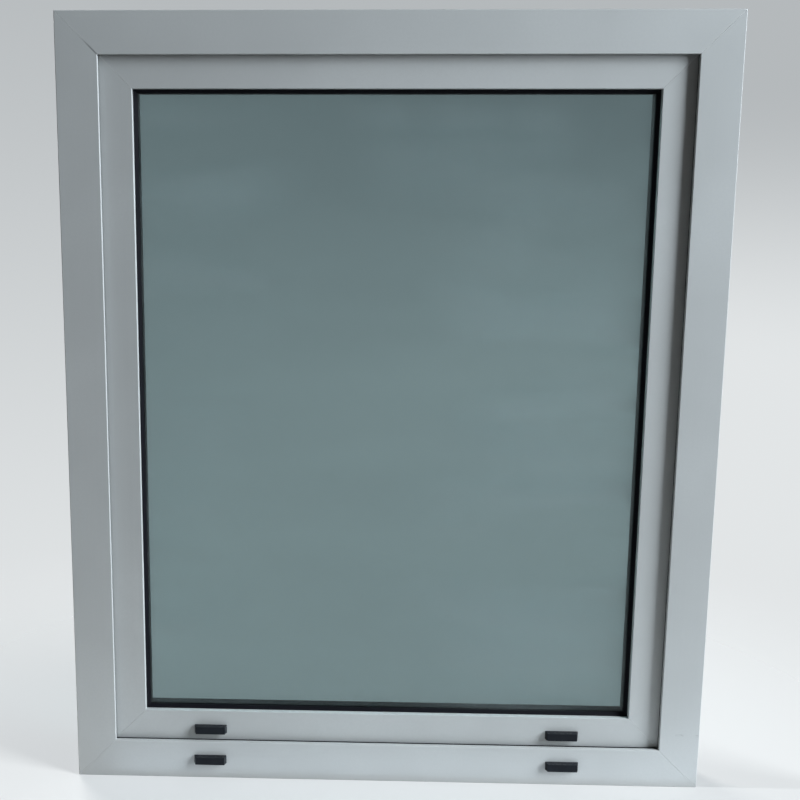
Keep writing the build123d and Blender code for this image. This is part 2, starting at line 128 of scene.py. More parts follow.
class ShaderTree:
    """A new material or world, with short calls for the nodes that the finishes share."""

    def __init__(self, name: str, world: bool = False) -> None:
        """Start an empty material that reads Object coordinates, or a world that reads a ray's direction.

        Args:
            name: The name of the material or world.
            world: True for a world.
        """
        self.holder = (bpy.data.worlds if world else bpy.data.materials).new(name)
        self.holder.use_nodes = True
        self.tree = self.holder.node_tree
        self.tree.nodes.clear()
        self.output = self.tree.nodes.new("ShaderNodeOutputWorld" if world else "ShaderNodeOutputMaterial")
        self.place = self.node("ShaderNodeTexCoord", {}).outputs["Generated" if world else "Object"]
        self.x, self.y, self.z = self.node("ShaderNodeSeparateXYZ", {0: self.place}).outputs
        self.noises: dict[Pattern, Socket] = {}

    def node(self, kind: str, inputs: dict[str | int, Value], **settings: object) -> bpy.types.Node:
        """Add one node.

        Args:
            kind: Blender's name of the node.
            inputs: A value or a feeding socket for each input, by name or number.
            **settings: Properties of the node itself.

        Returns:
            The node.
        """
        node = self.tree.nodes.new(kind)
        for key, value in settings.items():
            setattr(node, key, value)
        for key, value in inputs.items():
            if isinstance(value, Socket):
                self.tree.links.new(value, node.inputs[key])
            else:
                node.inputs[key].default_value = value
        return node

    def maths(self, operation: str, *values: Value, clamp: bool = False) -> Socket:
        """Work out one number from others."""
        inputs = dict(enumerate(values))
        return self.node("ShaderNodeMath", inputs, operation=operation, use_clamp=clamp).outputs[0]

    def noise(self, pattern: Pattern) -> Socket:
        """The noise of a pattern in the object's own place, drawn once.

        Args:
            pattern: The pattern.

        Returns:
            The noise's value, about 0.5 in the middle.
        """
        if pattern not in self.noises:
            stretched = {"Vector": self.place, "Scale": pattern.stretch}
            place = self.node("ShaderNodeMapping", stretched).outputs[0]
            inputs = {"Vector": place, "W": pattern.seed, "Scale": pattern.scale, "Detail": pattern.detail}
            self.noises[pattern] = self.node("ShaderNodeTexNoise", inputs, noise_dimensions="4D").outputs[0]
        return self.noises[pattern]

    def spread(self, value: Value, span: Span, to: Span = RISING) -> Socket:
        """Carry a range of values smoothly to another, and hold it at the ends."""
        inputs = dict(enumerate((value, *span, *to)))
        return self.node("ShaderNodeMapRange", inputs, interpolation_type="SMOOTHSTEP").outputs[0]

    def mark(self, pattern: Pattern) -> Socket:
        """The mark that a pattern makes."""
        return self.spread(self.noise(pattern), pattern.span, pattern.share)

    def blend(self, share: Value, first: Value, second: Value) -> Socket:
        """Mix two colours.

        Args:
            share: The share of the second colour.
            first: The first colour, or a socket that gives it.
            second: The second colour, or a socket that gives it.

        Returns:
            The mixed colour.
        """
        node = self.node("ShaderNodeMix", {0: share}, data_type="RGBA")
        for socket, value in ((node.inputs[6], first), (node.inputs[7], second)):
            if isinstance(value, Socket):
                self.tree.links.new(value, socket)
            else:
                socket.default_value = (*value, 1.0)
        return node.outputs[2]

    def relief(self, height: Value, strength: float, depth: float, under: Socket | None = None) -> Socket:
        """A bumped normal from a height.

        Args:
            height: The height, from 0 to 1.
            strength: How much of the bump shows.
            depth: How far a height of 1 stands out, in metres.
            under: A normal that is bumped already.

        Returns:
            The normal.
        """
        inputs = {"Height": height, "Strength": strength, "Distance": depth}
        if under is not None:
            inputs["Normal"] = under
        return self.node("ShaderNodeBump", inputs).outputs[0]

    def facing_up(self) -> Socket:
        """How far a face looks upwards, from -1 to 1."""
        normal = self.node("ShaderNodeNewGeometry", {}).outputs["Normal"]
        return self.node("ShaderNodeSeparateXYZ", {0: normal}).outputs[2]

    def surface(self, inputs: dict[str, Value]) -> Socket:
        """The main shader of a finish."""
        return self.node("ShaderNodeBsdfPrincipled", inputs).outputs[0]

    def finish(self, shader: Socket) -> bpy.types.Material | bpy.types.World:
        """Join the shader to the output and give the material or world back."""
        self.tree.links.new(shader, self.output.inputs["Surface"])
        return self.holder


def shade(colour: Colour, factor: float) -> Colour:
    """A colour made lighter or darker, and at most white."""
    return tuple(min(1.0, factor * part) for part in colour)


class Finish(ABC):
    """A surface that a piece of the window can have."""

    name: str
    made: ClassVar[dict[Finish, bpy.types.Material]] = {}

    @abstractmethod
    def paint(self, tree: ShaderTree) -> Socket:
        """Draw the finish.

        Args:
            tree: An empty material.

        Returns:
            The shader of the finish.
        """

    def material(self) -> bpy.types.Material:
        """The finish as a Blender material, made once.

        Returns:
            The material.
        """
        if self not in Finish.made:
            tree = ShaderTree(self.name)
            Finish.made[self] = tree.finish(self.paint(tree))
        return Finish.made[self]


@dataclass(frozen=True)
class MitreLines:
    """The corner joints, from each outer corner inwards at 45 degrees, with a painted highlight beside them;
    one of them stands a little open.
    """

    half_width: float
    half_height: float
    frame_face: float
    outer_back: float
    opened: float = 0.5
    opened_stretch: Span = (0.58, 0.88)
    opened_reach: Span = (0.4 * MM, 1.9 * MM)
    # Painted highlight beside the joints: its strength at the lower and upper ones, its reach, and the heights
    # where it changes.
    highlight_share: Span = (0.30, 0.62)
    highlight_share_reach: Span = (0.25 * MM, 0.95 * MM)
    highlight_share_middle: Span = (-0.1, 0.1)
    patchy: Pattern = Pattern(28.0, seed=4.0, span=(0.38, 0.62), share=(0.7, 1.0))

    def outside(self, tree: ShaderTree) -> Socket:
        """1 on the outer shells and 0 on the room side."""
        return tree.maths("LESS_THAN", tree.y, self.outer_back)

    def measure(self, tree: ShaderTree) -> tuple[Socket, Socket, Socket]:
        """The distances that place a joint.

        Args:
            tree: The material that shows the joint.

        Returns:
            The distance from the nearer side, the height above the middle, and the distance from a joint.
        """
        from_side = tree.maths("SUBTRACT", self.half_width, tree.maths("ABSOLUTE", tree.x))
        above_middle = tree.maths("SUBTRACT", tree.z, self.half_height)
        from_end = tree.maths("SUBTRACT", self.half_height, tree.maths("ABSOLUTE", above_middle))
        apart = tree.maths("ABSOLUTE", tree.maths("SUBTRACT", from_side, from_end))
        return from_side, above_middle, apart

    def painted_joint_highlight(self, tree: ShaderTree) -> Socket:
        """How strong the painted highlight beside a joint is; it offsets the shade in the joint's gap.

        Args:
            tree: The material that shows the joint.

        Returns:
            0 away from the joints and more beside them, less at the lower ones than at the upper.
        """
        _, above_middle, apart = self.measure(tree)
        most = tree.spread(above_middle, self.highlight_share_middle, self.highlight_share)
        near = tree.maths("MULTIPLY", tree.spread(apart, self.highlight_share_reach, FALLING), most)
        return tree.maths("MULTIPLY", near, tree.mark(self.patchy))

    def share(self, tree: ShaderTree) -> Socket:
        """How dark the joint that stands open shows at a point.

        Args:
            tree: The material that shows the joint.

        Returns:
            0 away from the frame's upper left joint, and most at its inner end.
        """
        from_side, above_middle, apart = self.measure(tree)
        at_left = tree.maths("LESS_THAN", tree.x, 0.0)
        at_top = tree.maths("GREATER_THAN", above_middle, 0.0)
        start, end = (part * self.frame_face for part in self.opened_stretch)
        inner_end = tree.spread(from_side, (start, end), (0.0, self.opened))
        gap = tree.maths("MULTIPLY", tree.spread(apart, self.opened_reach, FALLING), inner_end)
        for within in (at_left, at_top, tree.maths("LESS_THAN", from_side, self.frame_face)):
            gap = tree.maths("MULTIPLY", gap, within)
        return gap


@dataclass(frozen=True)
class Scuff:
    """A short dark rub on an upright face, in the window's own X and Z."""

    middle: Span
    half_length: float
    half_height: float
    strength: float
    full_length: float = 0.3
    full_height: float = 0.2
    broken: Pattern = Pattern(420.0, seed=8.0, detail=4.0, stretch=(0.4, 1.0, 1.0), span=(0.4, 0.62))

    def share(self, tree: ShaderTree) -> Socket:
        """How dark the rub shows at a point.

        Args:
            tree: The material that shows the rub.

        Returns:
            0 away from the rub, and up to its strength on it.
        """
        along = tree.maths("ABSOLUTE", tree.maths("SUBTRACT", tree.x, self.middle[0]))
        across = tree.maths("ABSOLUTE", tree.maths("SUBTRACT", tree.z, self.middle[1]))
        lengthwise = (self.full_length * self.half_length, self.half_length)
        crosswise = (self.full_height * self.half_height, self.half_height)
        within = tree.maths(
            "MULTIPLY",
            tree.spread(along, lengthwise, (self.strength, 0.0)),
            tree.spread(across, crosswise, FALLING),
        )
        return tree.maths("MULTIPLY", within, tree.mark(self.broken))


@dataclass(frozen=True)
class CoatedAluminium(Finish):
    """Satin silver-grey coating on an extruded bar, with its die lines, grain, handling marks, dust and painted
    highlights.
    """

    name: str
    run: Run
    colour: Colour
    # Dust on upward faces, a little paler than the coat, so that it also paints a highlight on ledges lit from
    # above.
    dust: Colour = (0.50, 0.50, 0.48)
    # The pale grey of the painted highlight beside the corner joints.
    metal: Colour = (0.70, 0.71, 0.72)
    dirt: Colour = (0.03, 0.03, 0.032)
    pale: float = 1.05
    deep: float = 0.95
    metallic: float = 0.06
    specular: float = 0.35
    roughness: float = 0.46
    rough_play: float = 0.05
    rough_span: Span = (0.25, 0.75)
    cloud: Pattern = Pattern(5.0, seed=1.0, detail=3.0)
    line_stretch: Span = (1.5, 420.0)
    line_relief: Span = (0.12, 0.05 * MM)
    grain: Pattern = Pattern(2600.0, seed=3.0, span=(0.3, 0.75), share=(0.0, 0.22))
    grain_relief: Span = (0.10, 0.02 * MM)
    mottle: Pattern = Pattern(330.0, seed=5.0, detail=3.0, span=(0.35, 0.65), share=(0.0, 0.3))
    handling: Pattern = Pattern(17.0, seed=6.0, detail=5.0, stretch=(1.0, 1.0, 0.6), span=(0.54, 0.74))
    handled_tone: float = 0.12
    handled_polish: float = -0.07
    speckle: Pattern = Pattern(130.0, seed=7.0, detail=4.0, span=(0.4, 0.68))
    dust_facing: Span = (0.35, 0.9)
    dust_share: Span = (0.05, 0.4)
    dust_roughness: float = 0.3
    mitres: MitreLines | None = None
    scuffs: tuple[Scuff, ...] = ()

    def die_lines(self) -> Pattern:
        """The fine lines that the die has left along the bar."""
        stretch = self.run.stretch(*self.line_stretch)
        return Pattern(1.0, seed=2.0, detail=3.0, stretch=stretch, span=(0.35, 0.65), share=(0.0, 0.12))

    def paint(self, tree: ShaderTree) -> Socket:
        """Draw the coating; see Finish."""
        pale, deep = shade(self.colour, self.pale), shade(self.colour, self.deep)
        lines = self.die_lines()
        colour = tree.blend(tree.mark(self.cloud), deep, pale)
        colour = tree.blend(tree.mark(lines), colour, pale)
        for flecks in (self.grain, self.mottle):
            colour = tree.blend(tree.mark(flecks), colour, deep)
        handled = tree.mark(self.handling)
        colour = tree.blend(tree.maths("MULTIPLY", handled, self.handled_tone), colour, deep)
        # Dust on upward faces, which also paints a slight highlight there, as it is paler than the coat.
        settled = tree.spread(tree.facing_up(), self.dust_facing)
        speckled = tree.spread(tree.mark(self.speckle), RISING, self.dust_share)
        dusty = tree.maths("MULTIPLY", settled, speckled)
        colour = tree.blend(dusty, colour, self.dust)
        if self.mitres is not None:
            # Painted highlight beside each corner joint, stronger at the upper ones, which offsets the shade in
            # the joint's gap.
            colour = tree.blend(self.mitres.painted_joint_highlight(tree), colour, self.metal)
            outside = self.mitres.outside(tree)
            for mark in (*self.scuffs, self.mitres):
                share = tree.maths("MULTIPLY", mark.share(tree), outside)
                colour = tree.blend(share, colour, self.dirt)

        smooth, coarse = self.roughness - self.rough_play, self.roughness + self.rough_play
        rough = tree.spread(tree.noise(self.cloud), self.rough_span, (smooth, coarse))
        rough = tree.maths("ADD", rough, tree.maths("MULTIPLY", handled, self.handled_polish))
        rough = tree.maths("ADD", rough, tree.maths("MULTIPLY", dusty, self.dust_roughness), clamp=True)
        fine = tree.relief(tree.noise(self.grain), *self.grain_relief)
        return tree.surface(
            {
                "Base Color": colour,
                "Roughness": rough,
                "Metallic": self.metallic,
                "Specular IOR Level": self.specular,
                "Normal": tree.relief(tree.noise(lines), *self.line_relief, under=fine),
            }
        )


@dataclass(frozen=True)
class BlackRubber(Finish):
    """Weathered black rubber of the gaskets: dull, faintly grained, with a grey bloom."""

    name: str
    colour: Colour = (0.0050, 0.0051, 0.0078)
    bloom: Colour = (0.0090, 0.0098, 0.0125)
    dust: Colour = (0.07, 0.07, 0.068)
    specular: float = 0.1
    roughness: Span = (0.68, 0.82)
    patches: Pattern = Pattern(34.0, seed=11.0, detail=4.0, span=(0.45, 0.75), share=(0.0, 0.4))
    grain: Pattern = Pattern(1500.0, seed=12.0, detail=3.0)
    grain_relief: Span = (0.2, 0.05 * MM)
    speckle: Pattern = Pattern(260.0, seed=13.0, detail=3.0, span=(0.5, 0.7))
    dust_facing: Span = (0.4, 0.95)
    dust_share: Span = (0.0, 0.08)

    def paint(self, tree: ShaderTree) -> Socket:
        """Draw the rubber; see Finish."""
        patches = tree.mark(self.patches)
        colour = tree.blend(patches, self.colour, self.bloom)
        settled = tree.spread(tree.facing_up(), self.dust_facing, self.dust_share)
        dusty = tree.maths("MULTIPLY", settled, tree.mark(self.speckle))
        return tree.surface(
            {
                "Base Color": tree.blend(dusty, colour, self.dust),
                "Roughness": tree.spread(patches, self.patches.share, self.roughness),
                "Specular IOR Level": self.specular,
                "Normal": tree.relief(tree.noise(self.grain), *self.grain_relief),
            }
        )


@dataclass(frozen=True)
class MouldedPlastic(Finish):
    """Spark-eroded black plastic of small mouldings, a little dusty on top."""

    name: str
    colour: Colour
    dust: Colour = (0.09, 0.09, 0.088)
    worn: float = 1.6
    specular: float = 0.28
    roughness: float = 0.42
    rough_play: Span = (-0.05, 0.08)
    texture: Pattern = Pattern(900.0, seed=21.0, detail=3.0)
    texture_relief: Span = (0.3, 0.06 * MM)
    patches: Pattern = Pattern(60.0, seed=22.0, detail=3.0, span=(0.4, 0.75), share=(0.0, 0.6))
    speckle: Pattern = Pattern(400.0, seed=23.0, detail=3.0, span=(0.42, 0.7))
    dust_facing: Span = (0.3, 0.95)
    dust_share: Span = (0.0, 0.28)

    def paint(self, tree: ShaderTree) -> Socket:
        """Draw the plastic; see Finish."""
        texture = tree.noise(self.texture)
        colour = tree.blend(tree.mark(self.patches), self.colour, shade(self.colour, self.worn))
        settled = tree.spread(tree.facing_up(), self.dust_facing, self.dust_share)
        dusty = tree.maths("MULTIPLY", settled, tree.mark(self.speckle))
        smooth, coarse = (self.roughness + play for play in self.rough_play)
        return tree.surface(
            {
                "Base Color": tree.blend(dusty, colour, self.dust),
                "Roughness": tree.spread(texture, self.texture.span, (smooth, coarse)),
                "Specular IOR Level": self.specular,
                "Normal": tree.relief(texture, *self.texture_relief),
            }
        )


@dataclass(frozen=True)
class FilledPolyamide(Finish):
    """Black polyamide with short glass fibres drawn out along the bars, matt and slightly mottled."""

    name: str
    colour: Colour = (0.014, 0.014, 0.015)
    fibre: Colour = (0.07, 0.07, 0.072)
    specular: float = 0.3
    across: Pattern = Pattern(1.0, seed=31.0, stretch=Run.ACROSS.stretch(160.0, 1400.0))
    upright: Pattern = Pattern(1.0, seed=32.0, stretch=Run.UPRIGHT.stretch(160.0, 1400.0))
    fibre_span: Span = (0.6, 0.76)
    fibre_share: Span = (0.0, 0.7)
    fibre_relief: Span = (0.25, 0.05 * MM)
    rough_span: Span = (0.45, 0.75)
    roughness: Span = (0.66, 0.5)

    def paint(self, tree: ShaderTree) -> Socket:
        """Draw the polyamide; see Finish."""
        fibres = tree.maths("MAXIMUM", tree.noise(self.across), tree.noise(self.upright))
        showing = tree.spread(fibres, self.fibre_span, self.fibre_share)
        return tree.surface(
            {
                "Base Color": tree.blend(showing, self.colour, self.fibre),
                "Roughness": tree.spread(fibres, self.rough_span, self.roughness),
                "Specular IOR Level": self.specular,
                "Normal": tree.relief(fibres, *self.fibre_relief),
            }
        )


@dataclass(frozen=True)
class TintedGlass(Finish):
    """Float glass, tinted grey-green and darker than the real pane so that it also paints the shade behind it,
    with a thin film of dust and wiped smears.
    """

    name: str
    # Grey-green, darker than the real pane, so that it also paints the shade behind the glass.
    tint_and_shade: Colour
    dust: Colour = (0.44, 0.49, 0.50)
    dust_roughness: float = 0.9
    film: float = 0.085
    refraction: float = 1.5
    specular: float = 0.35
    wiped: Pattern = Pattern(3.2, seed=41.0, detail=4.0, stretch=(1.0, 1.0, 0.45), span=(0.4, 0.62))
    smear: Pattern = Pattern(9.0, seed=42.0, detail=5.0, stretch=(0.35, 1.0, 1.6), span=(0.36, 0.66))
    specks: Pattern = Pattern(240.0, seed=43.0, span=(0.70, 0.78))
    streak_span: Span = (0.3, 0.7)
    streak_share: Span = (0.0, 0.25)
    streak_tone: float = 0.9

    def paint(self, tree: ShaderTree) -> Socket:
        """Draw the glass, which lets lamp light through; see Finish."""
        haze = tree.maths("MULTIPLY", tree.mark(self.wiped), tree.mark(self.smear))
        dirt = tree.maths("MULTIPLY", tree.maths("MAXIMUM", haze, tree.mark(self.specks)), self.film)
        streaks = tree.spread(tree.noise(self.smear), self.streak_span, self.streak_share)
        colour = tree.blend(streaks, self.tint_and_shade, shade(self.tint_and_shade, self.streak_tone))
        glass = tree.surface(
            {
                "Base Color": colour,
                "Roughness": 0.0,
                "Transmission Weight": 1.0,
                "IOR": self.refraction,
                "Specular IOR Level": self.specular,
            }
        )
        dust = tree.surface({"Base Color": (*self.dust, 1.0), "Roughness": self.dust_roughness})
        dusty = tree.node("ShaderNodeMixShader", {0: dirt, 1: glass, 2: dust}).outputs[0]
        clear = tree.node("ShaderNodeBsdfTransparent", {"Color": colour}).outputs[0]
        to_lamp = tree.node("ShaderNodeLightPath", {}).outputs["Is Shadow Ray"]
        return tree.node("ShaderNodeMixShader", {0: to_lamp, 1: dusty, 2: clear}).outputs[0]


@dataclass(frozen=True)
class BlastedMetal(Finish):
    """Bare or lacquered metal with a fine blasted grain, rubbed brighter where hands and tools touch it."""

    name: str
    colour: Colour
    roughness: float
    metallic: float = 0.85
    bright: float = 1.12
    rough_play: Span = (0.05, -0.06)
    grain: Pattern = Pattern(2200.0, seed=51.0)
    grain_relief: Span = (0.18, 0.03 * MM)
    rubbed: Pattern = Pattern(45.0, seed=52.0, detail=4.0, span=(0.42, 0.7))

    def paint(self, tree: ShaderTree) -> Socket:
        """Draw the metal; see Finish."""
        rubbed = tree.mark(self.rubbed)
        coarse, smooth = (self.roughness + play for play in self.rough_play)
        return tree.surface(
            {
                "Base Color": tree.blend(rubbed, self.colour, shade(self.colour, self.bright)),
                "Roughness": tree.spread(rubbed, RISING, (coarse, smooth)),
                "Metallic": self.metallic,
                "Normal": tree.relief(tree.noise(self.grain), *self.grain_relief),
            }
        )


SILVER: Colour = (0.472, 0.490, 0.496)
SASH_SILVER: Colour = shade(SILVER, 0.985)
RUBS: tuple[Scuff, ...] = (
    Scuff((0.3748, 0.0715), 7.0 * MM, 2.2 * MM, 0.22),
    Scuff((0.3962, 0.0710), 3.2 * MM, 2.0 * MM, 0.30),
)


@dataclass(frozen=True)
class Palette:
    """Every finish of the window."""

    frame_across: CoatedAluminium
    frame_upright: CoatedAluminium
    sash_across: CoatedAluminium
    sash_upright: CoatedAluminium
    bead_across: CoatedAluminium
    bead_upright: CoatedAluminium
    hinge_coat: CoatedAluminium
    rubber: BlackRubber = BlackRubber("weathered_rubber")
    cap: MouldedPlastic = MouldedPlastic("black_moulding", (0.0095, 0.0118, 0.0160))
    spacer: MouldedPlastic = MouldedPlastic(
        "black_spacer_bar",
        (0.0030, 0.0033, 0.0045),
        roughness=0.6,
        texture=Pattern(500.0, seed=21.0, detail=3.0),
        dust_share=(0.0, 0.0),
    )
    strip: FilledPolyamide = FilledPolyamide("filled_polyamide")
    # The glass colour is darker than the real pane's, so it also paints the shade behind the glass.
    glass: TintedGlass = TintedGlass("tinted_float_glass", (0.52, 0.605, 0.615))
    handle: BlastedMetal = BlastedMetal("blasted_handle_metal", (0.60, 0.61, 0.62), 0.34)
    pin: BlastedMetal = BlastedMetal("bright_steel", (0.52, 0.52, 0.53), 0.28, metallic=1.0)

    @classmethod
    def for_window(cls, mitres: MitreLines) -> Palette:
        """The finishes of a window.

        Args:
            mitres: The window's corner joints.

        Returns:
            The palette.
        """
        across, upright = Run.ACROSS, Run.UPRIGHT
        return cls(
            CoatedAluminium("frame_coating_across", across, SILVER, mitres=mitres),
            CoatedAluminium("frame_coating_upright", upright, SILVER, mitres=mitres, scuffs=RUBS),
            CoatedAluminium("sash_coating_across", across, SASH_SILVER, mitres=mitres),
            CoatedAluminium("sash_coating_upright", upright, SASH_SILVER, mitres=mitres),
            CoatedAluminium("bead_coating_across", across, SILVER, mitres=mitres),
            CoatedAluminium("bead_coating_upright", upright, SILVER, mitres=mitres),
            CoatedAluminium("hinge_coating", upright, SILVER, roughness=0.4, metallic=0.3),
        )


def dress(frame: dict, node: str, finish: Finish) -> str:
    """Give a carried-over node its finish.

    Args:
        frame: The loaded frame.
        node: The node's name.
        finish: The finish that it shows.

    Returns:
        The node's name, for the report.
    """
    materials = frame["nodes"][node].data.materials
    materials.clear()
    materials.append(finish.material())
    return node


def soften_edges(frame: dict, node: str, width: float, segments: int = 2) -> None:
    """Round the sharp edges of a carried-over node by live modifiers, which leave its own mesh alone.

    Args:
        frame: The loaded frame.
        node: The node's name.
        width: How far the rounding reaches from an edge.
        segments: The steps of the rounding.
    """
    target = frame["nodes"][node]
    weld = target.modifiers.new("weld", "WELD")
    weld.merge_threshold = MERGE
    bevel = target.modifiers.new("soft_edges", "BEVEL")
    bevel.width = width
    bevel.segments = segments
    bevel.limit_method = "ANGLE"
    bevel.angle_limit = SOFT_EDGE_ANGLE


def add_piece(
    name: str, shape: bmesh.types.BMesh, finish: Finish, sharp: float = 40.0
) -> bpy.types.Object:
    """Turn a finished shape into a piece that rides with the window.

    Args:
        name: The piece's name.
        shape: The closed shape, in place; it is freed.
        finish: The finish that it shows.
        sharp: The angle, in degrees, past which an edge stays sharp.

    Returns:
        The new object.
    """
    bmesh.ops.remove_doubles(shape, verts=shape.verts, dist=MERGE)
    bmesh.ops.recalc_face_normals(shape, faces=shape.faces)
    mesh = bpy.data.meshes.new(name)
    shape.to_mesh(mesh)
    shape.free()
    mesh.shade_smooth()
    mesh.set_sharp_from_angle(angle=math.radians(sharp))
    mesh.materials.append(finish.material())
    piece = bpy.data.objects.new(name, mesh)
    bpy.context.scene.collection.objects.link(piece)
    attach(piece, BODY)
    return piece


def edges_along(shape: bmesh.types.BMesh, axis: Vector) -> list[bmesh.types.BMEdge]:
    """The edges of a shape that run along an axis."""
    return [
        edge
        for edge in shape.edges
        if abs((edge.verts[1].co - edge.verts[0].co).normalized().dot(axis)) > ALIGNED
    ]


def round_edges(
    shape: bmesh.types.BMesh, edges: list[bmesh.types.BMEdge], radius: float, segments: int
) -> None:
    """Bevel edges of a shape to a round."""
    bmesh.ops.bevel(
        shape, geom=edges, offset=radius, affect="EDGES", segments=segments, profile=0.5, material=-1
    )


class SubAssembly(ABC):
    """A group of the window's pieces that is dressed or modelled together."""

    @abstractmethod
    def build(self, frame: dict, palette: Palette) -> list[str]:
        """Dress and model the group's pieces.

        Args:
            frame: The loaded frame.
            palette: The window's finishes.

        Returns:
            The names of the pieces that are ready.
        """


@dataclass
class OuterFrame(SubAssembly):
    """The fixed frame: an outer and an inner shell on each side, joined by polyamide strips."""

    across: tuple[str, ...] = ("sill", "head")
    upright: tuple[str, ...] = ("left_jamb", "right_jamb")

    def build(self, frame: dict, palette: Palette) -> list[str]:
        """Dress the eight shells and the strips; see SubAssembly."""
        done = [dress(frame, "frame_thermal_break", palette.strip)]
        for shell in ("outer", "inner"):
            done += [dress(frame, f"frame_{side}_{shell}", palette.frame_across) for side in self.across]
            done += [dress(frame, f"frame_{side}_{shell}", palette.frame_upright) for side in self.upright]
        return done


@dataclass
class Sash(SubAssembly):
    """The opening sash: two shells on each side, strips, and the clipped-in glazing beads."""

    across: tuple[str, ...] = ("bottom_rail", "top_rail")
    upright: tuple[str, ...] = ("left_stile", "right_stile")
    beads_across: tuple[str, ...] = ("bottom", "top")
    beads_upright: tuple[str, ...] = ("left", "right")

    def build(self, frame: dict, palette: Palette) -> list[str]:
        """Dress the shells, the strips and the beads; see SubAssembly."""
        done = [dress(frame, "sash_thermal_break", palette.strip)]
        for shell in ("outer", "inner"):
            done += [dress(frame, f"sash_{side}_{shell}", palette.sash_across) for side in self.across]
            done += [dress(frame, f"sash_{side}_{shell}", palette.sash_upright) for side in self.upright]
        done += [dress(frame, f"glazing_bead_{side}", palette.bead_across) for side in self.beads_across]
        done += [dress(frame, f"glazing_bead_{side}", palette.bead_upright) for side in self.beads_upright]
        return done


@dataclass
class Glazing(SubAssembly):
    """The sealed glass unit and every gasket round it."""

    gaskets: tuple[str, ...] = (
        "outer_stop_gasket",
        "inner_stop_gasket",
        "outer_glazing_gasket",
        "inner_glazing_gasket",
    )

    def build(self, frame: dict, palette: Palette) -> list[str]:
        """Dress the panes, the spacer and the gaskets; see SubAssembly."""
        done = [dress(frame, pane, palette.glass) for pane in ("outer_pane", "inner_pane")]
        done.append(dress(frame, "glass_spacer", palette.spacer))
        return done + [dress(frame, gasket, palette.rubber) for gasket in self.gaskets]


@dataclass
class DrainCaps(SubAssembly):
    """The four hoods over the drain slots."""

    edge: float = 0.35 * MM

    def build(self, frame: dict, palette: Palette) -> list[str]:
        """Dress the hoods and take the sharpness off their edges; see SubAssembly."""
        done = []
        for carrier in ("frame", "sash"):
            for side in ("left", "right"):
                node = f"drain_cap_{carrier}_{side}"
                soften_edges(frame, node, self.edge)
                done.append(dress(frame, node, palette.cap))
        return done


